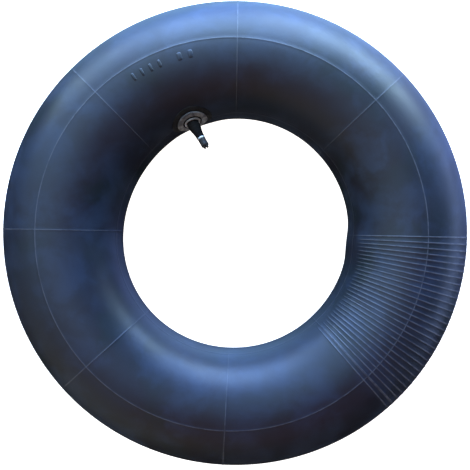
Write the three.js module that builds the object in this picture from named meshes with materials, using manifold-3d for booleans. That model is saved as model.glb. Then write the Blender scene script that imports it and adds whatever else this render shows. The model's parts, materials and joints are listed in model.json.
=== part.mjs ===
// Inflated inner tube for a small 12-inch wheel, lying flat, with its rubber-covered car-type
// valve. The valve comes apart into its pad, rubber sleeve, plated stem, core and cap.
// Millimetres, +Z up. The ring's axis is the Z axis and the ring rests on z = 0.
import * as THREE from "three";
import { mergeVertices } from "three/addons/utils/BufferGeometryUtils.js";
import Module from "manifold-3d";

const wasm = await Module();
wasm.setup();

// The ring.
const TUBE_OUTER_DIAMETER = 600;
const SECTION_DIAMETER = 153;
const TUBE_WALL = 2;
const SECTION_SIDES = 32;
const RING_SEGMENTS = 60;

// Where the valve stands: its direction seen from above, and its height round the section,
// counted up from the inner equator in whole section sides.
const VALVE_ANGLE = THREE.MathUtils.degToRad(111);
const VALVE_SIDES_UP = 2;
const STEM_LEAN = THREE.MathUtils.degToRad(7.5);

// Clearance between pieces that touch on the real object.
const GAP = 0.3;

// Patch and pad. Heights are measured from the tube's outer surface, along the valve.
const PATCH_RADIUS = 26;
const PATCH_THICKNESS = 0.8;
const PAD_RADIUS = 19.5;
const PAD_THICKNESS = 1.6;
const AIR_HOLE_RADIUS = 3;
const OUTER_AIR_HOLE_RADIUS = 4;
const COLLAR_FOOT = 2.2;
const COLLAR_FOOT_RADIUS = 10.6;
const COLLAR_EDGE = 3.7;
const COLLAR_TOP_RADIUS = 9.9;
const COLLAR_TOP = 4.2;
const SOCKET_FLOOR = 2.1;
const SOCKET_TOP = 5.0;

// The stem. Heights are measured from the middle of its ball-shaped root, along the stem.
const PIVOT_HEIGHT = 5.4;
const ROOT_RADIUS = 7.6;
const ROOT_DEPTH = 1;
const RUBBER_TOP = 22.3;
const RUBBER_TAPER = [[7.5, 6], [7.2, 8], [6.4, 11], [5.8, 14], [5.3, 17.5], [5.1, RUBBER_TOP]];
const INSERT_FOOT = 1.5;
const INSERT_RADIUS = 3.6;
const FLANGE_BOTTOM = RUBBER_TOP + GAP;
const FLANGE_TOP = 24.9;
const FLANGE_RADIUS = 4.95;
const THREAD_RADIUS = 3.85;
const THREAD_CHAMFER = 0.5;
const STEM_TOP = 33.1;
const LOWER_BORE_RADIUS = 2.35;
const UPPER_BORE_RADIUS = 2.75;
const SEAT_BOTTOM = 23.4;
const SEAT_TOP = 24.2;

// The valve core.
const PLUG_BOTTOM = 27.5;
const PLUG_SHOULDER = 30.8;
const PLUG_TOP = 32.5;
const PLUG_RADIUS = 2.45;
const PLUG_BRIDGE_RADIUS = 2.3;
const PLUG_BORE_RADIUS = 1.1;
const PLUG_BRIDGE_WIDTH = 3;
const BARREL_BOTTOM = 20.8;
const BARREL_TOP = 27.2;
const BARREL_RADIUS = 1.85;
const BARREL_BORE_RADIUS = 1.35;
const BARREL_FLOOR = 0.6;
const BARREL_SHOULDER = 26.1;
const BARREL_SHOULDER_RADIUS = 2.4;
const SEAL_BOTTOM = 24.4;
const SEAL_BOTTOM_RADIUS = 2.35;
const SEAL_TOP_RADIUS = 2.5;
const PIN_RADIUS = 0.5;
const PIN_BOTTOM = 17.6;
const PIN_FOOT_RADIUS = 1;
const PIN_FOOT_THICKNESS = 0.5;
const PIN_HEAD_RADIUS = 0.8;
const PIN_HEAD_BOTTOM = 32.5;
const PIN_HEAD_TOP = 33;
const PIN_COLLAR_RADIUS = 1.1;
const PIN_COLLAR_BOTTOM = 25.6;
const PIN_COLLAR_THICKNESS = 0.5;
const SPRING_TURNS = 5;
const SPRING_RADIUS = 0.95;
const SPRING_WIRE_RADIUS = 0.14;
const CUP_BOTTOM = 18.4;
const CUP_RADIUS = 1.95;
const CUP_WALL = 0.25;
const CUP_FLOOR = 0.45;
const CUP_TOP = 19.8;
const CUP_SEAL_TOP = 20.5;

// The cap.
const CAP_RADIUS = 4.75;
const CAP_BOTTOM = FLANGE_TOP + GAP;
const CAP_BORE_RADIUS = THREAD_RADIUS + GAP;
const CAP_BORE_TOP = 34.8;
const CAP_BODY_TOP = 35.2;
const CAP_FORK_BOTTOM = 36.3;
const CAP_FORK_RADIUS = 3.2;
const CAP_TOP = 38.4;
const CAP_SLOT_WIDTH = 1.7;
const CAP_SLOT_BOTTOM = 36.4;
const CAP_SEAL_THICKNESS = 1.1;
const CAP_SEAL_BORE_RADIUS = 2;

// How finely the round pieces are divided.
const PAD_SEGMENTS = 48;
const STEM_SEGMENTS = 32;
const CORE_SEGMENTS = 24;
const PIN_SEGMENTS = 16;
const SPRING_STEPS_PER_TURN = 12;
const SPRING_WIRE_SEGMENTS = 6;

const sectionRadius = SECTION_DIAMETER / 2;
const ringRadius = TUBE_OUTER_DIAMETER / 2 - sectionRadius;
const padBottom = PATCH_THICKNESS + 2 * GAP;
const valveElevation = (VALVE_SIDES_UP * 2 * Math.PI) / SECTION_SIDES;
const halfSegment = Math.PI / RING_SEGMENTS;

function material(color, roughness, metalness) {
  return new THREE.MeshStandardMaterial({ color, roughness, metalness });
}

const butyl = material(0x1c1f27, 0.42, 0);
const patchRubber = material(0x17181c, 0.6, 0);
const padRubber = material(0x4b4b4d, 0.65, 0);
const stemRubber = material(0x151618, 0.5, 0);
const platedBrass = material(0xd9d7cf, 0.22, 1);
const brass = material(0xb59a5b, 0.32, 1);
const springSteel = material(0xa3a5a8, 0.3, 1);
const sealRubber = material(0x1b1b1b, 0.6, 0);
const sealPlastic = material(0xb3392c, 0.5, 0);
const capPlastic = material(0x3a3a3c, 0.45, 0);

// A closed shell with shared corners, ready for joining and cutting.
function shell(geometry) {
  geometry.deleteAttribute("normal");
  geometry.deleteAttribute("uv");
  return mergeVertices(geometry);
}

// A body turned about Z. The profile is a list of [radius, height] corners, which runs up the
// outside. It starts and ends on the axis, or it closes on itself round a bore.
function turned(profile, segments, startAngle = 0) {
  const corners = profile.map(([radius, height]) => new THREE.Vector2(radius, height));
  const onAxis = profile[0][0] === 0 && profile.at(-1)[0] === 0;
  if (!onAxis) corners.push(corners[0].clone());
  return shell(new THREE.LatheGeometry(corners, segments, startAngle).rotateX(Math.PI / 2));
}

function cylinder(radius, bottom, top, segments) {
  return turned([[0, bottom], [radius, bottom], [radius, top], [0, top]], segments);
}

function box(width, depth, bottom, top) {
  return shell(new THREE.BoxGeometry(width, depth, top - bottom).translate(0, 0, (top + bottom) / 2));
}

// The outline of a ball about height 0, from one height to another, in even steps of angle.
function ballArc(radius, fromHeight, toHeight, steps) {
  const start = Math.asin(fromHeight / radius);
  const turn = Math.asin(toHeight / radius) - start;
  return Array.from({ length: steps + 1 }, (_, i) => {
    const angle = start + (turn * i) / steps;
    return [radius * Math.cos(angle), radius * Math.sin(angle)];
  });
}

function solid(geometry) {
  const vertProperties = Float32Array.from(geometry.attributes.position.array);
  const triVerts = Uint32Array.from(geometry.index.array);
  return new wasm.Manifold(new wasm.Mesh({ numProp: 3, vertProperties, triVerts }));
}

function surface(manifold) {
  const mesh = manifold.getMesh();
  const geometry = new THREE.BufferGeometry();
  geometry.setAttribute("position", new THREE.BufferAttribute(mesh.vertProperties, 3));
  geometry.setIndex(new THREE.BufferAttribute(mesh.triVerts, 1));
  return geometry;
}

// The solid ring whose section sides stand the given distance outside the tube's own surface.
// One side of the section is level underneath, and one segment is centred on the valve.
function ring(offset) {
  const halfSide = Math.PI / SECTION_SIDES;
  const cornerRadius = (sectionRadius + offset) / Math.cos(halfSide);
  const profile = Array.from({ length: SECTION_SIDES }, (_, i) => {
    const angle = halfSide * (2 * i + 1);
    return [
      ringRadius + cornerRadius * Math.cos(angle),
      sectionRadius + cornerRadius * Math.sin(angle),
    ];
  });
  return turned(profile, RING_SEGMENTS, VALVE_ANGLE + Math.PI / 2 + halfSegment);
}

// The valve's own frame: its origin is on the tube's surface, Z points away from the tube,
// Y climbs the section and X runs round the ring.
function valveFrame() {
  const outward = new THREE.Vector3(Math.cos(VALVE_ANGLE), Math.sin(VALVE_ANGLE), 0);
  const up = new THREE.Vector3(0, 0, 1);
  const along = outward.clone().cross(up);
  const away = outward.clone().multiplyScalar(-Math.cos(valveElevation));
  away.addScaledVector(up, Math.sin(valveElevation));
  const climbing = away.clone().cross(along);
  const sideRadius = (ringRadius - sectionRadius * Math.cos(valveElevation)) * Math.cos(halfSegment);
  const origin = outward.clone().multiplyScalar(sideRadius);
  origin.addScaledVector(up, sectionRadius * (1 + Math.sin(valveElevation)));
  return new THREE.Matrix4().makeBasis(along, climbing, away).setPosition(origin);
}

const valvePlace = valveFrame();

function ringAtValve(offset) {
  return solid(ring(offset).applyMatrix4(valvePlace.clone().invert()));
}

// A disc that follows the tube's surface between two heights above it.
function surfaceDisc(radius, bottom, top) {
  const layer = ringAtValve(top).subtract(ringAtValve(bottom));
  return layer.intersect(solid(cylinder(radius, -radius, radius, PAD_SEGMENTS)));
}

// A pin the size of an air hole, long enough to cut right through the tube's wall and the pad.
function airHole(radius) {
  return cylinder(radius, -PIVOT_HEIGHT, PIVOT_HEIGHT, CORE_SEGMENTS);
}

// The hollow ring, open only through the air hole under the valve.
function tubeBody() {
  const wall = solid(ring(0)).subtract(solid(ring(-TUBE_WALL)));
  return surface(wall.subtract(solid(airHole(OUTER_AIR_HOLE_RADIUS).applyMatrix4(valvePlace))));
}

function reinforcingPatch() {
  const disc = surfaceDisc(PATCH_RADIUS, GAP, GAP + PATCH_THICKNESS);
  return surface(disc.subtract(solid(airHole(OUTER_AIR_HOLE_RADIUS))));
}

// The pad carries a collar with a level top, and its ball-shaped socket takes the stem's root.
function valvePad() {
  const disc = surfaceDisc(PAD_RADIUS, padBottom, padBottom + PAD_THICKNESS);
  const collar = turned(
    [[0, COLLAR_FOOT], [COLLAR_FOOT_RADIUS, COLLAR_FOOT], [COLLAR_FOOT_RADIUS, COLLAR_EDGE],
      [COLLAR_TOP_RADIUS, COLLAR_TOP], [0, COLLAR_TOP]],
    PAD_SEGMENTS,
  );
  const low = SOCKET_FLOOR - PIVOT_HEIGHT;
  const high = SOCKET_TOP - PIVOT_HEIGHT;
  const arc = ballArc(ROOT_RADIUS + GAP, low, high, 5);
  const socket = turned([[0, low], ...arc, [0, high]], PAD_SEGMENTS).translate(0, 0, PIVOT_HEIGHT);
  const hole = airHole(AIR_HOLE_RADIUS);
  return surface(disc.add(solid(collar)).subtract(solid(socket)).subtract(solid(hole)));
}

// A sleeve that tapers from its ball-shaped root to the flange of the metal stem.
function stemSleeve() {
  const boreRadius = INSERT_RADIUS + GAP;
  const bore = [
    [boreRadius, RUBBER_TOP],
    [boreRadius, INSERT_FOOT - GAP],
    [LOWER_BORE_RADIUS, INSERT_FOOT - GAP],
    [LOWER_BORE_RADIUS, -ROOT_DEPTH],
  ];
  const root = ballArc(ROOT_RADIUS, -ROOT_DEPTH, 0, 2);
  return turned([...root, ...RUBBER_TAPER, ...bore], STEM_SEGMENTS);
}

// The metal stem: its flange covers the sleeve's end, and the core seals on the cone in its bore.
function stemInsert() {
  return turned(
    [[INSERT_RADIUS, INSERT_FOOT], [INSERT_RADIUS, FLANGE_BOTTOM], [FLANGE_RADIUS, FLANGE_BOTTOM],
      [FLANGE_RADIUS, FLANGE_TOP], [THREAD_RADIUS, FLANGE_TOP],
      [THREAD_RADIUS, STEM_TOP - THREAD_CHAMFER], [THREAD_RADIUS - THREAD_CHAMFER, STEM_TOP],
      [UPPER_BORE_RADIUS, STEM_TOP], [UPPER_BORE_RADIUS, SEAT_TOP],
      [LOWER_BORE_RADIUS, SEAT_BOTTOM], [LOWER_BORE_RADIUS, INSERT_FOOT]],
    STEM_SEGMENTS,
  );
}

// The threaded plug, cut down to a bridge at the top for the key that turns it.
function corePlug() {
  const body = turned(
    [[PLUG_BORE_RADIUS, PLUG_BOTTOM], [PLUG_RADIUS, PLUG_BOTTOM], [PLUG_RADIUS, PLUG_SHOULDER],
      [PLUG_BRIDGE_RADIUS, PLUG_SHOULDER], [PLUG_BRIDGE_RADIUS, PLUG_TOP], [PLUG_BORE_RADIUS, PLUG_TOP]],
    CORE_SEGMENTS,
  );
  const flat = () => box(PLUG_RADIUS, 2 * PLUG_RADIUS, PLUG_SHOULDER, PLUG_TOP + 1);
  const flatCentre = (PLUG_BRIDGE_WIDTH + PLUG_RADIUS) / 2;
  const left = solid(flat().translate(-flatCentre, 0, 0));
  const right = solid(flat().translate(flatCentre, 0, 0));
  return surface(solid(body).subtract(left).subtract(right));
}

// The barrel holds the spring over its floor and the sealing sleeve under its shoulder.
function coreBarrel() {
  const floorTop = BARREL_BOTTOM + BARREL_FLOOR;
  const floorBore = PIN_RADIUS + GAP;
  return turned(
    [[floorBore, BARREL_BOTTOM], [BARREL_RADIUS, BARREL_BOTTOM], [BARREL_RADIUS, BARREL_SHOULDER],
      [BARREL_SHOULDER_RADIUS, BARREL_SHOULDER], [BARREL_SHOULDER_RADIUS, BARREL_TOP],
      [BARREL_BORE_RADIUS, BARREL_TOP], [BARREL_BORE_RADIUS, floorTop], [floorBore, floorTop]],
    CORE_SEGMENTS,
  );
}

function coreBarrelSeal() {
  const bore = BARREL_RADIUS + GAP;
  const top = BARREL_SHOULDER - GAP;
  return turned(
    [[bore, SEAL_BOTTOM], [SEAL_BOTTOM_RADIUS, SEAL_BOTTOM], [SEAL_TOP_RADIUS, top], [bore, top]],
    CORE_SEGMENTS,
  );
}

function corePin() {
  const footTop = PIN_BOTTOM + PIN_FOOT_THICKNESS;
  const collarTop = PIN_COLLAR_BOTTOM + PIN_COLLAR_THICKNESS;
  return turned(
    [[0, PIN_BOTTOM], [PIN_FOOT_RADIUS, PIN_BOTTOM], [PIN_FOOT_RADIUS, footTop], [PIN_RADIUS, footTop],
      [PIN_RADIUS, PIN_COLLAR_BOTTOM], [PIN_COLLAR_RADIUS, PIN_COLLAR_BOTTOM],
      [PIN_COLLAR_RADIUS, collarTop], [PIN_RADIUS, collarTop], [PIN_RADIUS, PIN_HEAD_BOTTOM],
      [PIN_HEAD_RADIUS, PIN_HEAD_BOTTOM], [PIN_HEAD_RADIUS, PIN_HEAD_TOP], [PIN_RADIUS, STEM_TOP],
      [0, STEM_TOP]],
    PIN_SEGMENTS,
  );
}

class Helix extends THREE.Curve {
  constructor(radius, bottom, top, turns) {
    super();
    this.radius = radius;
    this.bottom = bottom;
    this.top = top;
    this.turns = turns;
  }

  getPoint(t, target = new THREE.Vector3()) {
    const angle = 2 * Math.PI * this.turns * t;
    const height = this.bottom + (this.top - this.bottom) * t;
    return target.set(this.radius * Math.cos(angle), this.radius * Math.sin(angle), height);
  }
}

// The spring stands on the barrel's floor and pushes the pin's collar up.
function coreSpring() {
  const bottom = BARREL_BOTTOM + BARREL_FLOOR + GAP + SPRING_WIRE_RADIUS;
  const top = PIN_COLLAR_BOTTOM - GAP - SPRING_WIRE_RADIUS;
  const wire = new THREE.Shape().absarc(0, 0, SPRING_WIRE_RADIUS, 0, 2 * Math.PI);
  const extrudePath = new Helix(SPRING_RADIUS, bottom, top, SPRING_TURNS);
  const steps = SPRING_STEPS_PER_TURN * SPRING_TURNS;
  const curveSegments = SPRING_WIRE_SEGMENTS;
  return shell(new THREE.ExtrudeGeometry(wire, { steps, curveSegments, extrudePath }));
}

function coreCup() {
  const bore = PIN_RADIUS + GAP;
  const innerRadius = CUP_RADIUS - CUP_WALL;
  const floorTop = CUP_BOTTOM + CUP_FLOOR;
  return turned(
    [[bore, CUP_BOTTOM], [CUP_RADIUS, CUP_BOTTOM], [CUP_RADIUS, CUP_TOP], [innerRadius, CUP_TOP],
      [innerRadius, floorTop], [bore, floorTop]],
    CORE_SEGMENTS,
  );
}

function coreCupSeal() {
  const bore = PIN_RADIUS + GAP;
  const radius = CUP_RADIUS - CUP_WALL - GAP;
  const bottom = CUP_BOTTOM + CUP_FLOOR + GAP;
  return turned(
    [[bore, bottom], [radius, bottom], [radius, CUP_SEAL_TOP], [bore, CUP_SEAL_TOP]],
    CORE_SEGMENTS,
  );
}

// The cap is bored from below, and its narrow tip is slotted into a fork that turns the core.
function capShell() {
  const body = turned(
    [[0, CAP_BORE_TOP], [CAP_BORE_RADIUS, CAP_BORE_TOP], [CAP_BORE_RADIUS, CAP_BOTTOM],
      [CAP_RADIUS, CAP_BOTTOM], [CAP_RADIUS, CAP_BODY_TOP], [CAP_FORK_RADIUS, CAP_FORK_BOTTOM],
      [CAP_FORK_RADIUS, CAP_TOP], [0, CAP_TOP]],
    STEM_SEGMENTS,
  );
  const slot = box(CAP_SLOT_WIDTH, 4 * CAP_RADIUS, CAP_SLOT_BOTTOM, CAP_TOP + 1);
  return surface(solid(body).subtract(solid(slot)));
}

function capSeal() {
  const top = CAP_BORE_TOP - GAP;
  const bottom = top - CAP_SEAL_THICKNESS;
  const radius = CAP_BORE_RADIUS - GAP;
  const bore = CAP_SEAL_BORE_RADIUS;
  return turned([[bore, bottom], [radius, bottom], [radius, top], [bore, top]], STEM_SEGMENTS);
}

function piece(name, geometry, look) {
  const mesh = new THREE.Mesh(geometry, look);
  mesh.name = name;
  return mesh;
}

const core = new THREE.Group();
core.add(
  piece("core_plug", corePlug(), brass),
  piece("core_barrel", coreBarrel(), brass),
  piece("core_barrel_seal", coreBarrelSeal(), sealPlastic),
  piece("core_pin", corePin(), brass),
  piece("core_spring", coreSpring(), springSteel),
  piece("core_cup", coreCup(), brass),
  piece("core_cup_seal", coreCupSeal(), sealRubber),
);

const cap = new THREE.Group();
cap.add(piece("cap_shell", capShell(), capPlastic), piece("cap_seal", capSeal(), sealRubber));

const stem = new THREE.Group();
stem.position.z = PIVOT_HEIGHT;
stem.rotation.y = STEM_LEAN;
stem.add(
  piece("stem_rubber", stemSleeve(), stemRubber),
  piece("stem_insert", stemInsert(), platedBrass),
  core,
  cap,
);

const valve = new THREE.Group();
valve.applyMatrix4(valvePlace);
valve.add(
  piece("reinforcing_patch", reinforcingPatch(), patchRubber),
  piece("valve_pad", valvePad(), padRubber),
  stem,
);

const innerTube = new THREE.Group();
innerTube.add(piece("tube_body", tubeBody(), butyl), valve);

export default innerTube;
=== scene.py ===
"""Looks of an inflated inner tube with its rubber-covered valve, core and slotted cap."""
import json
import math

import bmesh
import bpy
import numpy as np
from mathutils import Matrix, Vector


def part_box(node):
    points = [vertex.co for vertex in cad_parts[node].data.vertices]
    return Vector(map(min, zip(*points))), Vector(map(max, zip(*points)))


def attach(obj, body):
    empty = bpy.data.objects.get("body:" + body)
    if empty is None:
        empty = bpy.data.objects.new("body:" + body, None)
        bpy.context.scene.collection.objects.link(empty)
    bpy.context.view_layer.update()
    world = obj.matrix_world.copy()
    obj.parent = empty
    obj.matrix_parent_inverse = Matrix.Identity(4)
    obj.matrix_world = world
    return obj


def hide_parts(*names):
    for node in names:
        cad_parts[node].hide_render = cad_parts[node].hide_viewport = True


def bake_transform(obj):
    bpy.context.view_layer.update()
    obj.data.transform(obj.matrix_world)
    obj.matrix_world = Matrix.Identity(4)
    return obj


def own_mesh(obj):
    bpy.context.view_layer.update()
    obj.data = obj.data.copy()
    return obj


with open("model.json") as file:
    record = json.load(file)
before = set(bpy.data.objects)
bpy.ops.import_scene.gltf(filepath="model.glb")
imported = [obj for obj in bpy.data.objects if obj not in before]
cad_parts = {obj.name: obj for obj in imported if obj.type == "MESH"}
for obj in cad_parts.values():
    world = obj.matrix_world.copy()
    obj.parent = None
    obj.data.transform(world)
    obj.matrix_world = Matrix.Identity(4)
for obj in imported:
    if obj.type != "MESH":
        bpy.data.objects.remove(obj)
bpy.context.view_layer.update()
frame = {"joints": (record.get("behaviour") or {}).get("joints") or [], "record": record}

bl_info = {
    "name": "Inner Tube",
    "version": (1, 0, 0),
    "blender": (4, 5, 0),
    "location": "3D View > Sidebar > Inner Tube",
    "description": "Builds the fine surfaces and finishes of an inflated inner tube and its valve",
    "category": "Object",
}

MM = 0.001
BLACK = (0, 0, 0, 1)

# ---------------------------------------------------------------- places taken from the frame
JOINTS = {joint["name"]: joint for joint in frame["joints"]}
MOUNTS = {mount["name"]: mount for mount in frame["record"]["mounts"]}
ring_low, ring_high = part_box("tube_body")
SECTION_RADIUS = (ring_high.z - ring_low.z) / 2
RING_RADIUS = (ring_high.x - ring_low.x) / 2 - SECTION_RADIUS

# The valve: the pivot is the middle of the stem's root. The pad stands square on the tube along
# PAD_AXIS, and the stem leans from it along STEM_AXIS.
PIVOT = np.array(JOINTS["stem_flex"]["pos_m"])
CLIMB = np.array(JOINTS["stem_flex"]["axis"])
STEM_AXIS = np.array(JOINTS["cap_turn"]["axis"])
PAD_AXIS = np.array(MOUNTS["rim_seat"]["axis"])
PIVOT_HEIGHT = 5.4 * MM
FOOT = PIVOT - PIVOT_HEIGHT * PAD_AXIS
VALVE_ANGLE = math.atan2(FOOT[1], FOOT[0])
VALVE_SECTION_ANGLE = math.pi - math.asin(PAD_AXIS[2])


# ---------------------------------------------------------------- colour and small maths
def linear(hexadecimal):
    """Turns an sRGB colour of six hexadecimal digits into linear red, green, blue and alpha 1."""
    channels = np.array([int(hexadecimal[i:i + 2], 16) for i in (0, 2, 4)]) / 255
    made = np.where(channels > 0.04045, ((channels + 0.055) / 1.055) ** 2.4, channels / 12.92)
    return (*made, 1.0)


def smooth(edge0, edge1, value):
    """The cubic that leaves 0 at edge0 and reaches 1 at edge1, level at both ends."""
    t = np.clip((value - edge0) / (edge1 - edge0), 0, 1)
    return t * t * (3 - 2 * t)


def ridge(distance, half_width):
    """A raised-cosine ridge: 1 in the middle, 0 at half_width and beyond."""
    return np.where(np.abs(distance) < half_width, np.cos(np.pi / 2 * distance / half_width) ** 2, 0.0)


def turn_between(angle, centre):
    """The signed turn from centre to angle, between half a turn back and half a turn on."""
    return (angle - centre + np.pi) % (2 * np.pi) - np.pi


# ---------------------------------------------------------------- meshes from grids
def signed_volume(points, quads):
    """Six times the volume inside the quads: the sum over each half quad of a . (b x c)."""
    a, b, c, d = (points[quads[:, k]] for k in range(4))
    return np.einsum("ij,ij->", a, np.cross(b, c)) + np.einsum("ij,ij->", a, np.cross(c, d))


def mesh_object(name, sheets, material, sharp_angle=40, crest=None):
    """One object from several grids. A grid is (points by row and column, do the rows close).
    Columns always close on themselves. Rows close on themselves too, or each end row shrinks to
    one point. Each grid faces outwards, which the sign of its volume settles. crest, a value from
    0 to 1 for each point, is kept as an attribute for the material to read."""
    all_points, all_quads, start = [], [], 0
    for grid, rows_close in sheets:
        rows, columns = grid.shape[:2]
        points = grid.reshape(-1, 3)
        row = np.arange(rows if rows_close else rows - 1)[:, None]
        column = np.arange(columns)[None, :]
        next_row, next_column = (row + 1) % rows, (column + 1) % columns
        quads = np.stack(
            [row * columns + column, row * columns + next_column,
             next_row * columns + next_column, next_row * columns + column], -1
        ).reshape(-1, 4)
        if signed_volume(points, quads) < 0:
            quads = quads[:, ::-1]
        all_points.append(points)
        all_quads.append(quads + start)
        start += len(points)
    mesh = bpy.data.meshes.new(name)
    mesh.from_pydata(np.concatenate(all_points), [], np.concatenate(all_quads).tolist())
    if crest is not None:
        mesh.attributes.new("crest", "FLOAT", "POINT").data.foreach_set("value", crest.ravel())
    piece = bpy.data.objects.new(name, mesh)
    bpy.context.scene.collection.objects.link(piece)
    close_ends(mesh)
    mesh.polygons.foreach_set("use_smooth", np.ones(len(mesh.polygons), bool))
    mesh.set_sharp_from_angle(angle=math.radians(sharp_angle))
    mesh.materials.append(material)
    return piece


def close_ends(mesh):
    """Merges the points of an end row that shrinks to one place, so that no hole is left there."""
    work = bmesh.new()
    work.from_mesh(mesh)
    bmesh.ops.remove_doubles(work, verts=work.verts, dist=1e-7)
    bmesh.ops.dissolve_degenerate(work, edges=work.edges, dist=1e-8)
    work.to_mesh(mesh)
    work.free()


def rounded(profile, radius, steps=4):
    """The profile's corners, each cut back by radius, or by a third of its shorter side, and
    replaced by the quadratic curve (1-t)^2 before + 2t(1-t) corner + t^2 after."""
    corners = np.array(profile, float)
    made = [corners[:1]]
    t = np.linspace(0, 1, steps + 1)[:, None]
    for before, corner, after in zip(corners[:-2], corners[1:-1], corners[2:]):
        back, ahead = before - corner, after - corner
        cut = min(radius, np.linalg.norm(back) / 3, np.linalg.norm(ahead) / 3)
        start = corner + back / np.linalg.norm(back) * cut
        end = corner + ahead / np.linalg.norm(ahead) * cut
        made.append((1 - t) ** 2 * start + 2 * t * (1 - t) * corner + t ** 2 * end)
    return np.concatenate(made + [corners[-1:]])


def turned(profile, columns, axis=STEM_AXIS, origin=PIVOT, wave=None):
    """A profile of (radius, height) in mm carried round an axis: point = origin + height * axis
    + radius * (cos b * side + sin b * climb). wave(radius, height, b) may change the radius."""
    radius, height = np.array(profile, float).T
    around = np.linspace(0, 2 * np.pi, columns, endpoint=False)
    radius, height, around = radius[:, None], height[:, None], around[None, :]
    if wave is not None:
        radius = wave(radius, height, around)
    side = np.cross(CLIMB, axis)
    out = np.cos(around)[..., None] * side + np.sin(around)[..., None] * CLIMB
    return origin + MM * (height[..., None] * axis + (radius + 0 * around)[..., None] * out)


# ---------------------------------------------------------------- the ring's own shape
RIB_COUNT = 29
RIB_FIRST = math.radians(-1.2)
RIB_STEP = math.radians(1.7)
RIB_HALF_WIDTH = 1.0 * MM
VENT_ANGLES = np.radians([43.3, 89.3, 134.8, 179.0, 222.0, 267.0, 312.6, 358.9])
VENT_HALF_WIDTH = 0.75 * MM
TOP_LINE = math.radians(78)
TOP_LINE_WANDER = math.radians(3.6)
TOP_LINE_LOWEST = math.radians(200)
INNER_LINE = math.radians(160)
LINE_HALF_WIDTH = 0.9 * MM
MARK_FROM_LINE = math.radians(11)
MARK_HALF_HEIGHT = math.radians(4.2)


def top_line(theta):
    """Section angle of the upper mould line: a steady angle less one gentle wave round the ring."""
    return TOP_LINE - TOP_LINE_WANDER * np.cos(theta - TOP_LINE_LOWEST)


def near_valve(theta, phi):
    """Distance along the surface from the valve's foot, in metres."""
    round_ring = turn_between(theta, VALVE_ANGLE) * (RING_RADIUS + SECTION_RADIUS * np.cos(phi))
    return np.hypot(round_ring, SECTION_RADIUS * (phi - VALVE_SECTION_ANGLE))


def hole_swell(theta):
    """How far the inner side swells towards the middle: a broad bulge beside the valve, a small
    one at the last rib and two even waves."""
    broad = 4.2 * np.exp(-(turn_between(theta, math.radians(152)) / math.radians(38)) ** 2)
    small = 2.6 * np.exp(-(turn_between(theta, math.radians(-5)) / math.radians(8)) ** 2)
    return MM * (broad + small - 1.3 * np.cos(2 * (theta - math.radians(60))) - 2.2)


def ring_point(theta, phi, lift=0.0):
    """The inflated ring: section angle phi counts from the outer equator up. Its centre runs
    round a circle, the inner side swells by hole_swell, and the underside is pressed level."""
    inward = np.clip(-np.cos(phi), 0, 1) ** 1.5 * hole_swell(theta)
    inward = inward * smooth(28 * MM, 60 * MM, near_valve(theta, phi))
    sag = 0.5 * MM * np.sin(5 * theta + 1) * np.sin(phi) * np.cos(phi)
    reach = RING_RADIUS + (SECTION_RADIUS + lift) * np.cos(phi) - inward + sag
    height = SECTION_RADIUS + (SECTION_RADIUS + lift + 1.5 * MM * (np.sin(phi) < 0)) * np.sin(phi)
    height = (height + np.sqrt(height ** 2 + (0.5 * MM) ** 2)) / 2
    return np.stack([reach * np.cos(theta), reach * np.sin(theta), height], -1)


def ring_relief(theta, phi, rib_height, line_height):
    """Height of the moulded relief: ribs and vent lines are ridges across the ring, the mould
    lines are ridges along it, and a shallow groove follows the inner one."""
    rib_angles = RIB_FIRST - RIB_STEP * np.arange(RIB_COUNT)
    ribs = sum(ridge(turn_between(theta, a) * RING_RADIUS, RIB_HALF_WIDTH) for a in rib_angles)
    vents = sum(ridge(turn_between(theta, a) * RING_RADIUS, VENT_HALF_WIDTH) for a in VENT_ANGLES)
    from_outer = np.abs(turn_between(phi, 0))
    rib_ends = 1 - smooth(math.radians(146), math.radians(152), from_outer)
    top = ridge((phi - top_line(theta)) * SECTION_RADIUS, LINE_HALF_WIDTH)
    inner = ridge((phi - INNER_LINE) * SECTION_RADIUS, LINE_HALF_WIDTH)
    groove = ridge((phi - INNER_LINE) * SECTION_RADIUS - 3 * MM, 2.4 * MM)
    clear = smooth(27 * MM, 31 * MM, near_valve(theta, phi))
    across = np.maximum(rib_height * ribs * rib_ends, line_height * vents)
    along = line_height * np.maximum(top, inner)
    return clear * (np.maximum(across, along) - 0.5 * line_height * groove)


def ring_columns():
    """Angles round the ring: even steps, and five across each rib and vent line."""
    even = np.linspace(0, 2 * np.pi, 400, endpoint=False)
    ridges = np.concatenate([RIB_FIRST - RIB_STEP * np.arange(RIB_COUNT), VENT_ANGLES])
    across = RIB_HALF_WIDTH / RING_RADIUS * np.array([-1, -0.5, 0, 0.5, 1])
    fine = (ridges[:, None] + across).ravel() % (2 * np.pi)
    gap = np.abs(turn_between(even[:, None], ridges[None, :])).min(1)
    return np.sort(np.concatenate([even[gap > 1.2 * RIB_HALF_WIDTH / RING_RADIUS], fine]))


def ring_rows():
    """Section angles: even steps, and five across each mould line."""
    even = np.linspace(0, 2 * np.pi, 130, endpoint=False)
    lines = np.array([TOP_LINE, INNER_LINE])
    across = LINE_HALF_WIDTH / SECTION_RADIUS * np.array([-1, -0.5, 0, 0.5, 1])
    fine = (lines[:, None] + across).ravel()
    gap = np.abs(turn_between(even[:, None], lines[None, :])).min(1)
    return np.sort(np.concatenate([even[gap > 1.3 * LINE_HALF_WIDTH / SECTION_RADIUS], fine]))


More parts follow.
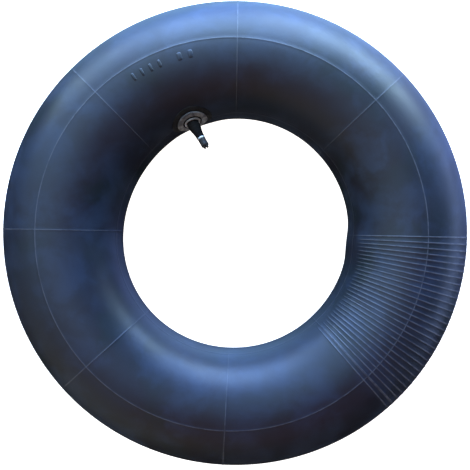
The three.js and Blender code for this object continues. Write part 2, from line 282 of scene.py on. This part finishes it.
def ring_grid(rib_height, line_height):
    """The ring's grid, and how close each point is to a ridge's crest, which is less worn low on
    the outer side and inside the hole. Rows near the upper mould line wander with it."""
    theta = ring_columns()[None, :]
    row = ring_rows()[:, None]
    pull = np.cos(np.clip(turn_between(row, TOP_LINE) / math.radians(60), -1, 1) * np.pi / 2) ** 2
    phi = row + pull * (top_line(theta) - TOP_LINE)
    theta = theta + 0 * phi
    relief = ring_relief(theta, phi, rib_height, line_height)
    low_outside = smooth(math.radians(40), math.radians(20), phi)
    in_hole = smooth(math.radians(135), math.radians(155), phi)
    worn = 1 - 0.75 * low_outside - 0.6 * in_hole
    return ring_point(theta, phi, relief), np.clip(relief / line_height, 0, 1) * worn


def mark_grids(pip_height):
    """Two groups of plain raised bars beside the upper mould line. Each is a flattened dome: a
    rounded oblong outline, |x/a|^4 + |y/b|^4 = 1, that rises as the root of 1 minus depth^2."""
    depth = np.linspace(0, 1, 7)[:, None]
    around = np.linspace(0, 2 * np.pi, 24, endpoint=False)[None, :]
    outline_x = np.sign(np.cos(around)) * np.abs(np.cos(around)) ** 0.5
    outline_y = np.sign(np.sin(around)) * np.abs(np.sin(around)) ** 0.5
    grids = []
    for degrees, half_width in ((123, 2), (120, 2), (117, 2), (114, 2), (107.5, 3.2), (104, 3.2)):
        middle = math.radians(degrees)
        theta = middle + half_width * MM / RING_RADIUS * (1 - depth) * outline_x
        phi = top_line(middle) + MARK_FROM_LINE + MARK_HALF_HEIGHT * (1 - depth) * outline_y
        lift = pip_height * (1.4 * np.sqrt(1 - (1 - depth) ** 2) - 0.4)
        top = ring_point(theta, phi, lift + 0 * phi)
        bottom = ring_point(theta, phi, -pip_height + 0 * phi)
        grids.append((np.concatenate([bottom[::-1], top]), False))
    return grids


# ---------------------------------------------------------------- pad and patch
SECTION_MM = SECTION_RADIUS / MM
HOLE_CURVE_MM = -(RING_RADIUS / MM + SECTION_MM * math.cos(VALVE_SECTION_ANGLE)) / math.cos(
    VALVE_SECTION_ANGLE)


def draped(profile, columns, level_inside):
    """A profile of (radius, height over the tube) in mm, turned about the pad's axis and laid on
    the tube: it rises as x^2 / 2R round the ring and falls as a circle's arc over the section.
    Inside level_inside the drape fades out, so that the middle stands level."""
    radius, height = np.array(profile, float).T[..., None]
    around = np.linspace(0, 2 * np.pi, columns, endpoint=False)[None, :]
    x, y = radius * np.cos(around), radius * np.sin(around)
    saddle = x ** 2 / (2 * HOLE_CURVE_MM) - (SECTION_MM - np.sqrt(SECTION_MM ** 2 - y ** 2))
    rise = height + saddle * smooth(0.72 * level_inside, 1.3 * level_inside, radius)
    side = np.cross(CLIMB, PAD_AXIS)
    return FOOT + MM * (x[..., None] * side + y[..., None] * CLIMB + rise[..., None] * PAD_AXIS)


def stem_skin(profile, columns):
    """The sleeve: a profile of (radius, height) carried along a path that leaves the pad square
    on and turns into the stem's own direction over the height of its root."""
    radius, height = np.array(profile, float).T[..., None]
    around = np.linspace(0, 2 * np.pi, columns, endpoint=False)[None, :]
    turn = smooth(-3, 2, height)[..., None]
    direction = (1 - turn) * PAD_AXIS + turn * STEM_AXIS
    direction = direction / np.linalg.norm(direction, axis=-1, keepdims=True)
    side = np.cross(CLIMB, direction)
    out = np.cos(around)[..., None] * side + np.sin(around)[..., None] * CLIMB
    return PIVOT + MM * (height[..., None] * direction + (radius + 0 * around)[..., None] * out)


def threaded(major, depth, pitch, bottom, top, rows_per_turn=8):
    """Profile heights and a wave for a single-start V thread: radius = major - depth *
    |2 frac(height / pitch - b / 2 pi) - 1|, fading out over half a turn at each end."""
    turns = (top - bottom) / pitch
    heights = np.linspace(bottom, top, int(turns * rows_per_turn))

    def wave(radius, height, around):
        """The thread's cut into the major radius, which leaves every other radius alone."""
        phase = (height / pitch - around / (2 * np.pi)) % 1
        ends = smooth(bottom, bottom + pitch / 2, height) * (1 - smooth(top - pitch / 2, top, height))
        on_thread = (height >= bottom) & (height <= top) & (radius >= major - 1e-6)
        return radius - np.where(on_thread, depth * ends * np.abs(2 * phase - 1), 0)

    return [(major, h) for h in heights], wave


# ---------------------------------------------------------------- materials
def add(owner, kind, inputs=None, output=0, **settings):
    """Adds a node to a material or a world and returns one of its outputs. Each input is given a
    constant or another node's output."""
    made = owner.node_tree.nodes.new(kind)
    for key, value in settings.items():
        setattr(made, key, value)
    for key, value in (inputs or {}).items():
        if isinstance(value, bpy.types.NodeSocket):
            owner.node_tree.links.new(value, made.inputs[key])
        else:
            made.inputs[key].default_value = value
    return made.outputs[output] if made.outputs else None


def empty_material(name):
    """A node material with no nodes yet."""
    material = bpy.data.materials.new(name)
    material.use_nodes = True
    material.node_tree.nodes.clear()
    return material


def complete(material, inputs):
    """Ends a material's nodes in a Principled shader with these inputs."""
    shader = add(material, "ShaderNodeBsdfPrincipled", inputs)
    add(material, "ShaderNodeOutputMaterial", {"Surface": shader})
    return material


def lumps(material, size_mm, detail, roughness, distortion=0.0):
    """A cloudy pattern whose largest lumps are about size_mm across, fixed to the piece."""
    place = add(material, "ShaderNodeTexCoord", output="Object")
    inputs = {"Vector": place, "Scale": 1 / (size_mm * MM), "Detail": detail,
              "Roughness": roughness, "Distortion": distortion}
    return add(material, "ShaderNodeTexNoise", inputs, "Fac")


def patches(material, lump, low, high, to_low=0.0, to_high=1.0):
    """Patches: to_low where the lumps are under low, to_high where they are over high, and a
    smooth step between. lump is the size, detail, roughness and distortion of the lumps."""
    inputs = {"Value": lumps(material, *lump), "From Min": low, "From Max": high,
              "To Min": to_low, "To Max": to_high}
    return add(material, "ShaderNodeMapRange", inputs, "Result", interpolation_type="SMOOTHSTEP")


def layered(material, colour, layers):
    """Lays colours over a first one, each by its share. Sockets 0, 6 and 7 of a colour mix are
    the share and the two colours, and output 2 is the mixed colour."""
    for share, over in layers:
        colour = add(material, "ShaderNodeMix", {0: share, 6: colour, 7: over}, 2, data_type="RGBA")
    return colour


def grain(material, layers):
    """The surface's normal, bent by layers of lumps, each (lump, depth in mm, strength)."""
    normal = None
    for lump, depth_mm, strength in layers:
        inputs = {"Height": lumps(material, *lump), "Distance": depth_mm * MM, "Strength": strength}
        if normal is not None:
            inputs["Normal"] = normal
        normal = add(material, "ShaderNodeBump", inputs, "Normal")
    return normal


def butyl_rubber(settings):
    """Moulded butyl, as it leaves the press: blue-black with a half gloss, faintly cloudy where
    the release powder was wiped off, scuffed paler along the crests of its ridges, with a very
    fine leathery grain."""
    material = empty_material("butyl_rubber_moulded")
    crest = add(material, "ShaderNodeAttribute", output="Fac", attribute_name="crest")
    uneven = patches(material, (9, 3, 0.6), 0.3, 0.6, 0.35, 1.0)
    scuffed = add(material, "ShaderNodeMath", {0: crest, 1: uneven}, operation="MULTIPLY")
    return complete(material, {
        "Base Color": layered(material, settings.shade_colour, [
            (patches(material, (75, 3, 0.5, 0.4), 0.4, 0.6), settings.green_colour),
            (patches(material, (120, 5, 0.6, 0.2), 0.32, 0.7), settings.body_colour),
            (patches(material, (46, 4, 0.6, 0.3), 0.42, 0.7), settings.bloom_colour),
            (scuffed, settings.scuff_colour),
        ]),
        "Roughness": patches(material, (60, 5, 0.62, 0.2), 0.3, 0.7, 0.41, 0.49),
        "IOR": 1.52,
        # The finest grain is drawn at 1.5 mm, about three times its real size, so that it shows.
        "Normal": grain(material, [
            ((30, 3, 0.5), 0.6, 0.3),
            ((7, 3, 0.6), 0.12, 0.35),
            ((1.5, 2, 0.6), 0.03, 0.5),
        ]),
    })


def two_toned(name, tones, wear, rough, layer, inputs):
    """A material whose two tones, and whose roughness, change in patches. wear and rough are what
    patches takes, layer is one layer of grain and inputs are the shader's constant values."""
    material = empty_material(name)
    return complete(material, {
        "Base Color": layered(material, tones[0], [(patches(material, *wear), tones[1])]),
        "Roughness": patches(material, *rough),
        "Normal": grain(material, [layer]),
        **inputs,
    })


def dull_rubber(name, colour, worn_colour, roughness, grain_mm, specular=0.5):
    """Buffed or ground rubber: dull, a little paler where it was rubbed, with a fine tooth."""
    return two_toned(
        name, (colour, worn_colour), ((7, 4, 0.6, 0.5), 0.4, 0.7),
        ((3, 3, 0.6), 0.3, 0.7, roughness - 0.08, roughness + 0.1),
        ((grain_mm, 3, 0.6), 0.05, 0.6), {"IOR": 1.52, "Specular IOR Level": specular})


def machined_metal(name, colour, dark_colour, roughness, metallic=1.0):
    """Turned metal: bright, with fine tool marks and slight tarnish in patches. A chalky zinc
    plate scatters part of the light, so its metallic share is lower."""
    return two_toned(
        name, (colour, dark_colour), ((2.5, 4, 0.6, 0.6), 0.45, 0.75),
        ((0.8, 3, 0.6), 0.3, 0.7, roughness - 0.06, roughness + 0.1),
        ((0.35, 2, 0.5), 0.01, 0.4), {"Metallic": metallic})


def moulded_plastic(name, colour, light_colour, roughness, specular=0.5):
    """Moulded plastic: even colour with scuffed high spots and a faint orange-peel skin."""
    return two_toned(
        name, (colour, light_colour), ((2.2, 4, 0.65, 0.5), 0.5, 0.78),
        ((1.5, 3, 0.6), 0.3, 0.7, roughness - 0.07, roughness + 0.08),
        ((0.6, 2, 0.5), 0.015, 0.5), {"IOR": 1.49, "Specular IOR Level": specular})


# ---------------------------------------------------------------- settings
class RingSettings(bpy.types.PropertyGroup):
    """Relief and colours of the ring."""

    rib_height: bpy.props.FloatProperty(
        name="Rib height", description="How far the moulded ribs stand up", default=0.3 * MM,
        unit="LENGTH", precision=5)
    line_height: bpy.props.FloatProperty(
        name="Line height", description="How far the vent and mould lines stand up",
        default=0.22 * MM, unit="LENGTH", precision=5)
    pip_height: bpy.props.FloatProperty(
        name="Mark height", description="How far the raised size mark stands up",
        default=0.7 * MM, unit="LENGTH", precision=5)
    shade_colour: bpy.props.FloatVectorProperty(
        name="Shade", description="Darkest tone of the butyl", subtype="COLOR", size=4,
        default=linear("18171F"))
    green_colour: bpy.props.FloatVectorProperty(
        name="Green shade", description="Darkest tone of the butyl where it turns green",
        subtype="COLOR", size=4, default=linear("121B1C"))
    body_colour: bpy.props.FloatVectorProperty(
        name="Body", description="Main tone of the butyl", subtype="COLOR", size=4,
        default=linear("1E242F"))
    bloom_colour: bpy.props.FloatVectorProperty(
        name="Bloom", description="Tone of the butyl under its cloudy bloom", subtype="COLOR", size=4,
        default=linear("232C3B"))
    scuff_colour: bpy.props.FloatVectorProperty(
        name="Scuff", description="Paler tone of the crests of ribs and lines", subtype="COLOR", size=4,
        default=linear("525358"))


class ValveSettings(bpy.types.PropertyGroup):
    """Colours of the valve's own parts."""

    pad_colour: bpy.props.FloatVectorProperty(
        name="Pad", description="Grey rubber of the base disc", subtype="COLOR", size=4,
        default=linear("565656"))
    sleeve_colour: bpy.props.FloatVectorProperty(
        name="Sleeve", description="Black rubber of the stem", subtype="COLOR", size=4,
        default=linear("14110F"))
    cap_colour: bpy.props.FloatVectorProperty(
        name="Cap", description="Dark grey plastic of the cap", subtype="COLOR", size=4,
        default=linear("332F2A"))
    cap_ridges: bpy.props.IntProperty(
        name="Cap ridges", description="Lengthwise grip ridges round the cap", default=18,
        min=6, max=40)


class StageSettings(bpy.types.PropertyGroup):
    """Floor, lights and camera."""

    camera_height: bpy.props.FloatProperty(
        name="Camera height", description="Height of the camera over the middle of the section",
        default=1.1, unit="LENGTH")
    right_power: bpy.props.FloatProperty(
        name="Right window", description="Power of the low window behind the ring on the right",
        default=12.5, unit="POWER")
    left_power: bpy.props.FloatProperty(
        name="Left window", description="Power of the low window behind the ring on the left",
        default=6.5, unit="POWER")
    high_power: bpy.props.FloatProperty(
        name="High window", description="Power of the high window behind the ring",
        default=15.0, unit="POWER")
    side_power: bpy.props.FloatProperty(
        name="Side strip", description="Power of the low strip at the ring's right",
        default=1.8, unit="POWER")
    daylight: bpy.props.FloatVectorProperty(
        name="Daylight", description="Colour of the light from the low windows",
        subtype="COLOR", size=4, default=linear("C4EAFF"))
    skylight: bpy.props.FloatVectorProperty(
        name="Skylight", description="Colour of the light from the high window",
        subtype="COLOR", size=4, default=linear("C4F0FF"))
    dusk: bpy.props.FloatVectorProperty(
        name="Side light", description="Colour of the light from the side strip",
        subtype="COLOR", size=4, default=linear("A8C4FF"))
    floor_glow: bpy.props.FloatProperty(
        name="Floor glow", description="Light that the pale floor gives of itself", default=1.6)
    floor_colour: bpy.props.FloatVectorProperty(
        name="Floor", description="Pale matt floor", subtype="COLOR", size=4, default=linear("F4F2EE"))


# ---------------------------------------------------------------- operators
def finish_piece(piece, body, slot, *nodes):
    """Joins a finished piece to its body and hides the nodes it stands for. slot is not used."""
    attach(piece, body)
    if nodes:
        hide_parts(*nodes)
    return piece


class INNERTUBE_OT_ring(bpy.types.Operator):
    """Build the inflated ring with its ribs, vent lines, mould lines and raised mark"""

    bl_idname = "inner_tube.ring"
    bl_label = "Ring"

    def execute(self, context):
        settings = context.scene.inner_tube_ring
        rubber = butyl_rubber(settings)
        grid, crest = ring_grid(settings.rib_height, settings.line_height)
        ring = mesh_object("tube_skin", [(grid, True)], rubber, 60, crest)
        finish_piece(ring, "tube", "butyl", "tube_body")
        mark = mesh_object("tube_mark", mark_grids(settings.pip_height), rubber, 60)
        finish_piece(mark, "tube", "butyl")
        return {"FINISHED"}


class INNERTUBE_OT_pad(bpy.types.Operator):
    """Build the reinforcing patch and the pad with its groove and bead"""

    bl_idname = "inner_tube.pad"
    bl_label = "Patch and pad"

    def execute(self, context):
        settings = context.scene.inner_tube_valve
        buffed = dull_rubber("rubber_patch_buffed", linear("1C1D1D"), linear("2B2C2B"), 0.75, 0.9, 0.3)
        sheet = [(4, -1), (26.3, -1), (26.3, 0.1), (25.2, 0.4), (22, 0.9), (4, 1.1), (4, -1)]
        patch = mesh_object("patch_skin", [(draped(rounded(sheet, 0.4), 128, 6), False)], buffed)
        finish_piece(patch, "tube", "patch_rubber", "reinforcing_patch")
        grey = dull_rubber(
            "rubber_pad_moulded", settings.pad_colour, linear("8C8B88"), 0.6, 0.7, 0.3)
        disc = [(3, 1.2), (19, 1.2), (19.8, 1.6), (19.7, 2.3), (18.8, 2.9), (16, 3.4), (13.8, 3.3),
                (12.6, 2.6), (12.2, 1.9), (3, 1.9), (3, 1.2)]
        pad = mesh_object("pad_skin", [(draped(rounded(disc, 0.6), 128, 12), False)], grey)
        finish_piece(pad, "tube", "pad_rubber", "valve_pad")
        # A near-black ring laid in the pad's groove, round the bead, is painted shade: it darkens the
        # recess.
        groove = [(3, 1.5), (12.7, 1.5), (12.7, 2.2), (10, 2.3), (3, 2.3), (3, 1.5)]
        black = dull_rubber("rubber_groove_painted_shade", linear("0B0B0B"), linear("151514"), 0.8, 0.7, 0.2)
        ring = mesh_object("pad_groove", [(draped(rounded(groove, 0.3), 128, 12), False)], black)
        finish_piece(ring, "tube", "pad_rubber")
        angles = np.linspace(0, 2 * np.pi, 25)
        crest = [(9.1 + 1.25 * math.cos(a), 2.95 + 1.25 * math.sin(a)) for a in angles]
        # The bead's pale grey is a painted highlight: it stands in for the light that the bead's
        # rounded crest catches.
        pale = dull_rubber("rubber_bead_painted_highlight", linear("A09F9C"), linear("C8C7C3"), 0.34, 0.7)
        bead = mesh_object("pad_bead", [(draped(crest, 128, 12), False)], pale)
        finish_piece(bead, "tube", "pad_rubber")
        return {"FINISHED"}


class INNERTUBE_OT_stem(bpy.types.Operator):
    """Build the rubber sleeve and the plated stem with its outer thread"""

    bl_idname = "inner_tube.stem"
    bl_label = "Stem"

    def execute(self, context):
        settings = context.scene.inner_tube_valve
        black = dull_rubber(
            "rubber_sleeve_moulded", settings.sleeve_colour, linear("211E1B"), 0.85, 1.1, 0.1)
        taper = [(2.4, -3), (7.6, -3), (7.6, -1), (7.6, 2), (7.55, 5), (7.4, 7), (7, 9), (6.4, 11),
                 (5.8, 14), (5.35, 17.5), (5.15, 21.7), (4.9, 22.3)]
        bore = [(3.9, 22.3), (3.9, 1.2), (2.4, 1.2), (2.4, -3)]
        grid = stem_skin(rounded(taper + bore, 0.5), 96)
        sleeve = mesh_object("sleeve_skin", [(grid, False)], black)
        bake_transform(sleeve)
        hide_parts("stem_rubber")
        plate = machined_metal("brass_zinc_plated", linear("D8D5CD"), linear("C2BEB3"), 0.4, 0.45)
        thread, wave = threaded(3.85, 0.42, 0.794, 25.1, 32.7)
        profile = [(2.35, 1.5), (3.6, 1.5), (3.6, 22.6), (4.95, 22.6), (4.95, 24.8), (4.4, 25),
                   (3.85, 25)]
        top = [(3.4, 33.1), (2.75, 33.1), (2.75, 24.2), (2.35, 23.4), (2.35, 1.5)]
        rows = rounded(profile, 0.25).tolist() + thread + top
        stem = mesh_object("stem_metal", [(turned(rows, 64, wave=wave), False)], plate)
        finish_piece(stem, "stem", "plated_brass", "stem_insert")
        return {"FINISHED"}


class INNERTUBE_OT_core(bpy.types.Operator):
    """Build the valve core: plug, barrel, sleeve, pin, spring, cup and its disc"""

    bl_idname = "inner_tube.core"
    bl_label = "Valve core"

    def execute(self, context):
        brass = machined_metal("brass_turned", linear("B8995A"), linear("8E7440"), 0.28)
        steel = machined_metal("spring_steel_drawn", linear("A9ABAE"), linear("85878B"), 0.3)
        red = moulded_plastic("sealing_plastic_moulded", linear("A83226"), linear("BE4A3C"), 0.45)
        black = dull_rubber("rubber_seal_cut", linear("141414"), linear("202020"), 0.6, 0.5)
        for node, body, slot, material, profile in (
            ("core_barrel", "core_sleeve", "core_brass", brass,
             [(0.8, 20.8), (1.85, 20.8), (1.85, 26.1), (2.4, 26.1), (2.4, 27.2), (1.35, 27.2),
              (1.35, 21.4), (0.8, 21.4), (0.8, 20.8)]),
            ("core_barrel_seal", "core_sleeve", "seal_plastic", red,
             [(2.15, 24.4), (2.35, 24.4), (2.5, 25.8), (2.15, 25.8), (2.15, 24.4)]),
            ("core_pin", "core_plunger", "core_brass", brass,
             [(0, 17.6), (1, 17.6), (1, 18.1), (0.5, 18.1), (0.5, 25.6), (1.1, 25.6), (1.1, 26.1),
              (0.5, 26.1), (0.5, 32.5), (0.8, 32.5), (0.8, 33), (0.5, 33.1), (0, 33.1)]),
            ("core_cup", "core_plunger", "core_brass", brass,
             [(0.8, 18.4), (1.95, 18.4), (1.95, 19.8), (1.7, 19.8), (1.7, 18.85), (0.8, 18.85),
              (0.8, 18.4)]),
            ("core_cup_seal", "core_plunger", "seal_rubber", black,
             [(0.8, 19.15), (1.4, 19.15), (1.4, 20.5), (0.8, 20.5), (0.8, 19.15)]),
        ):
            grid = turned(rounded(profile, 0.08), 48)
            finish_piece(mesh_object(node + "_fine", [(grid, False)], material), body, slot, node)
        self.plug(brass)
        self.spring(steel)
        return {"FINISHED"}

    def plug(self, brass):
        """The threaded plug. Above its shoulder the outline is flattened on two sides: radius =
        the smaller of the round and half the bridge's width / |cos b|."""
        thread, wave = threaded(2.45, 0.3, 0.7056, 27.7, 30.6)

        def bridge(radius, height, around):
            """The thread's wave, and above the shoulder the two flats, never nearer than the bore."""
            flat = 1.5 / np.maximum(np.abs(np.cos(around)), 1e-6)
            cut = wave(radius, height, around)
            return np.where(height > 30.85, np.minimum(cut, np.maximum(flat, 1.15)), cut)

        rows = [(1.1, 27.5), (2.3, 27.5)] + thread + [
            (2.45, 30.8), (2.3, 30.8), (2.3, 30.9), (2.3, 32.4), (2.2, 32.5), (1.1, 32.5), (1.1, 27.5)]
        plug = mesh_object("core_plug_fine", [(turned(rows, 96, wave=bridge), False)], brass)
        finish_piece(plug, "core_screw", "core_brass", "core_plug")

    def spring(self, steel):
        """A round wire carried along a helix: centre = R (cos a, sin a) + rise a / 2 pi, and the
        wire's circle lies square to it. A piece of each end lies flat."""
        turns, radius, wire, bottom, top = 5, 0.95, 0.14, 21.84, 25.16
        along = np.linspace(0, 1, turns * 32)[:, None]
        angle = 2 * np.pi * turns * along
        height = bottom + (top - bottom) * np.clip((along - 0.08) / 0.84, 0, 1)
        around = np.linspace(0, 2 * np.pi, 10, endpoint=False)[None, :]
        reach = radius + wire * np.cos(around)
        lift = height + wire * np.sin(around)
        side = np.cross(CLIMB, STEM_AXIS)
        out = np.cos(angle)[..., None] * side + np.sin(angle)[..., None] * CLIMB
        grid = PIVOT + MM * (lift[..., None] * STEM_AXIS + reach[..., None] * out)
        first, last = grid[:1], grid[-1:]
        tips = [end.mean(1, keepdims=True) + 0 * end for end in (first, last)]
        grid = np.concatenate([tips[0], grid, tips[1]])
        coil = mesh_object("core_spring_fine", [(grid, False)], steel)
        finish_piece(coil, "core_sleeve", "spring_steel", "core_spring")
        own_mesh(coil)


class INNERTUBE_OT_cap(bpy.types.Operator):
    """Build the ridged cap, its forked tip and the washer inside it"""

    bl_idname = "inner_tube.cap"
    bl_label = "Cap"

    def execute(self, context):
        settings = context.scene.inner_tube_valve
        grey = moulded_plastic("plastic_cap_moulded", settings.cap_colour, linear("5A554E"), 0.55, 0.18)
        ridges, groove_depth = settings.cap_ridges, 0.28
        bore = [(0, 34.8), (4.15, 34.8), (4.15, 25.2), (4.65, 25.2), (4.75, 25.7), (4.75, 34.6)]
        shoulder = [(4.75, 34.6), (4.6, 35.2), (3.5, 36.25), (3.2, 36.4), (0, 36.4)]

        def grip(radius, height, around):
            """Grooves between the ridges: radius less depth * ((1 + cos(ridges * b)) / 2)^2, on the
            outer wall only and fading out at both ends."""
            span = smooth(25.8, 26.6, height) * (1 - smooth(34.2, 35, height)) * (radius > 4.5)
            return radius - groove_depth * span * (0.5 + 0.5 * np.cos(ridges * around)) ** 2

        side = [(4.75, height) for height in np.linspace(26.1, 34.4, 18)]
        rows = np.concatenate([rounded(bore, 0.15), side, rounded(shoulder, 0.25)])
        shell = mesh_object("cap_body", [(turned(rows, 180, wave=grip), False)], grey)
        finish_piece(shell, "cap", "cap_plastic", "cap_shell")
        prongs = [(self.prong(+1), False), (self.prong(-1), False)]
        finish_piece(mesh_object("cap_fork", prongs, grey), "cap", "cap_plastic")
        black = dull_rubber("rubber_washer_cut", linear("161616"), linear("232323"), 0.6, 0.5)
        washer = [(2, 33.4), (3.85, 33.4), (3.85, 34.5), (2, 34.5), (2, 33.4)]
        seal = mesh_object("cap_washer_fine", [(turned(rounded(washer, 0.1), 64), False)], black)
        finish_piece(seal, "cap_washer", "seal_rubber", "cap_seal")
        return {"FINISHED"}

    def prong(self, sign):
        """One prong of the fork: a disc's outline cut straight along the slot, carried up the axis.
        Its corners are x = the larger of the slot's edge and R cos b, y = R sin b, and each row of
        (share, height) shrinks the outline to that share about the prong's middle."""
        rows = np.array([(0, 35.8), (1, 35.8), (1, 37.7), (0.96, 38.1), (0.86, 38.4), (0, 38.4)])
        around = np.linspace(-np.pi, np.pi, 48, endpoint=False)[None, :]
        share, height = rows.T[..., None]
        radius, slot_edge, half_width, middle = 3.2, 0.85, 3.05, 2.05
        x = np.maximum(slot_edge, radius * np.cos(around)) - middle
        y = np.clip(radius * np.sin(around), -half_width, half_width)
        x, y = sign * (middle + share * x), share * y
        side = np.cross(CLIMB, STEM_AXIS)
        return PIVOT + MM * (height[..., None] * STEM_AXIS + x[..., None] * side + y[..., None] * CLIMB)


class INNERTUBE_OT_stage(bpy.types.Operator):
    """Lay the floor, hang the lights and set the camera over the ring"""

    bl_idname = "inner_tube.stage"
    bl_label = "Stage"

    def execute(self, context):
        settings = context.scene.inner_tube_stage
        self.floor(settings)
        self.backdrop(settings)
        for name, place, size, power, colour in (
            ("right_window", (0.45, 0.78, 0.25), (0.9, 0.3), settings.right_power, settings.daylight),
            ("left_window", (-0.42, 0.79, 0.25), (0.9, 0.3), settings.left_power, settings.daylight),
            ("high_window", (0.04, 1.2, 0.8), (1.0, 0.6), settings.high_power, settings.skylight),
            ("side_strip", (0.8, 0, 0.09), (0.8, 0.12), settings.side_power, settings.dusk),
        ):
            self.soft_light(name, place, size, power, colour)
        context.scene.world = self.room()
        context.scene.view_settings.view_transform = "Standard"
        self.camera(context, settings)
        return {"FINISHED"}

    def floor(self, settings):
        """A level sheet, 12 m square, 0.3 mm under the ring. It is uncoated paper: matt and pale,
        with faint clouds of fibre."""
        material = empty_material("paper_floor_matt")
        fibre = patches(material, (12, 4, 0.6), 0.3, 0.7)
        complete(material, {
            "Base Color": layered(material, settings.floor_colour, [(fibre, linear("F1EFEB"))]),
            "Roughness": 0.9,
            "Emission Color": settings.floor_colour,
            "Emission Strength": settings.floor_glow,
        })
        corner = np.array([(-6, -6), (6, -6), (6, 6), (-6, 6)])
        mesh = bpy.data.meshes.new("floor")
        mesh.from_pydata([(x, y, -0.3 * MM) for x, y in corner], [], [(0, 1, 2, 3)])
        mesh.materials.append(material)
        floor = bpy.data.objects.new("floor", mesh)
        bpy.context.scene.collection.objects.link(floor)
        floor.visible_glossy = False

    def backdrop(self, settings):
        """A pale tent round the floor, a ball cut off at the floor: point = R (cos a cos b,
        cos a sin b, sin a). Only the camera sees it, so it neither lights nor shades the ring. It is
        plain matt paper without a pattern, so that it runs on from the floor."""
        radius = 6
        up = np.linspace(0, np.pi / 2, 13)[:, None]
        around = np.linspace(0, 2 * np.pi, 48, endpoint=False)[None, :]
        grid = radius * np.stack(
            [np.cos(up) * np.cos(around), np.cos(up) * np.sin(around), np.sin(up) + 0 * around], -1)
        material = complete(empty_material("paper_backdrop_matt"), {
            "Base Color": settings.floor_colour,
            "Roughness": 0.9,
            "Emission Color": settings.floor_colour,
            "Emission Strength": settings.floor_glow,
        })
        tent = mesh_object("backdrop", [(grid, False)], material)
        for ray in ("diffuse", "glossy", "transmission", "volume_scatter", "shadow"):
            setattr(tent, "visible_" + ray, False)

    def room(self):
        """The room's own light, the sum of soft glows: pale sky at the back on the left, deep blue
        sky low at the back, bright ground under it to the middle and right, and warm walls in
        front. Each falls off from its direction as the square of a smooth step on the cosine,
        from 1 down to the glow's edge."""
        world = bpy.data.worlds.new("room")
        world.use_nodes = True
        place = add(world, "ShaderNodeTexCoord", output="Generated")
        total = (0.0, 0.0, 0.0)
        for direction, edge, strength, colour in (
            ((-0.45, 0.45, 0.77), 0.4, 2.0, "C0E4FF"),
            ((0, 0.98, 0.21), 0.6, 8.0, "2268FF"),
            ((0, 0.91, -0.42), 0.5, 3.0, "98CEFF"),
            ((0.64, 0.64, -0.42), 0.5, 2.1, "90A8FF"),
            ((0, -0.64, 0.77), 0.4, 0.35, "FFBCB0"),
            ((-0.69, -0.69, 0.21), 0.6, 0.4, "FFF4B4"),
        ):
            inputs = {0: place, 1: Vector(direction).normalized()}
            cosine = add(world, "ShaderNodeVectorMath", inputs, "Value", operation="DOT_PRODUCT")
            step = add(world, "ShaderNodeMapRange", {"Value": cosine, "From Min": edge}, "Result",
                       interpolation_type="SMOOTHSTEP")
            share = add(world, "ShaderNodeMath", {0: step, 1: 2.0}, operation="POWER")
            full = tuple(strength * channel for channel in linear(colour))
            glow = layered(world, BLACK, [(share, full)])
            total = add(world, "ShaderNodeVectorMath", {0: total, 1: glow}, "Vector")
        world.node_tree.links.new(total, world.node_tree.nodes["Background"].inputs["Color"])
        return world

    def soft_light(self, name, place, size, power, colour):
        """A rectangular area light that faces the middle of the ring."""
        lamp = bpy.data.lights.new(name, "AREA")
        lamp.shape = "RECTANGLE"
        lamp.size, lamp.size_y = size
        lamp.energy = power
        lamp.color = colour[:3]
        holder = bpy.data.objects.new(name, lamp)
        holder.location = place
        toward_ring = Vector((0, 0, SECTION_RADIUS)) - holder.location
        holder.rotation_euler = toward_ring.to_track_quat("-Z", "Y").to_euler()
        bpy.context.scene.collection.objects.link(holder)

    def camera(self, context, settings):
        """A camera straight over the ring. Its view is 613 mm wide at the height of the section's
        middle."""
        lens = bpy.data.cameras.new("camera")
        lens.sensor_width = 36
        lens.lens = 36 * settings.camera_height / 0.613
        holder = bpy.data.objects.new("camera", lens)
        holder.location = (0, -2.5 * MM, SECTION_RADIUS + settings.camera_height)
        context.scene.collection.objects.link(holder)
        context.scene.camera = holder


class INNERTUBE_PT_panel(bpy.types.Panel):
    """Lists the steps that build the inner tube"""

    bl_idname = "INNERTUBE_PT_panel"
    bl_label = "Inner Tube"
    bl_space_type = "VIEW_3D"
    bl_region_type = "UI"
    bl_category = "Inner Tube"

    def draw(self, context):
        for operator in STEPS:
            self.layout.operator(operator.bl_idname)
        for group in ("inner_tube_ring", "inner_tube_valve", "inner_tube_stage"):
            settings = getattr(context.scene, group)
            box = self.layout.box()
            for name in settings.__annotations__:
                box.prop(settings, name)


STEPS = (
    INNERTUBE_OT_ring,
    INNERTUBE_OT_pad,
    INNERTUBE_OT_stem,
    INNERTUBE_OT_core,
    INNERTUBE_OT_cap,
    INNERTUBE_OT_stage,
)
CLASSES = (RingSettings, ValveSettings, StageSettings, *STEPS, INNERTUBE_PT_panel)


def register():
    """Registers the classes and hangs their settings on the scene."""
    for cls in CLASSES:
        bpy.utils.register_class(cls)
    bpy.types.Scene.inner_tube_ring = bpy.props.PointerProperty(type=RingSettings)
    bpy.types.Scene.inner_tube_valve = bpy.props.PointerProperty(type=ValveSettings)
    bpy.types.Scene.inner_tube_stage = bpy.props.PointerProperty(type=StageSettings)


def unregister():
    """Undoes what register did, in the opposite order."""
    del bpy.types.Scene.inner_tube_stage
    del bpy.types.Scene.inner_tube_valve
    del bpy.types.Scene.inner_tube_ring
    for cls in reversed(CLASSES):
        bpy.utils.unregister_class(cls)


def main():
    register()
    bpy.ops.inner_tube.ring()
    bpy.ops.inner_tube.pad()
    bpy.ops.inner_tube.stem()
    bpy.ops.inner_tube.core()
    bpy.ops.inner_tube.cap()
    bpy.ops.inner_tube.stage()


if __name__ == "__main__":
    main()
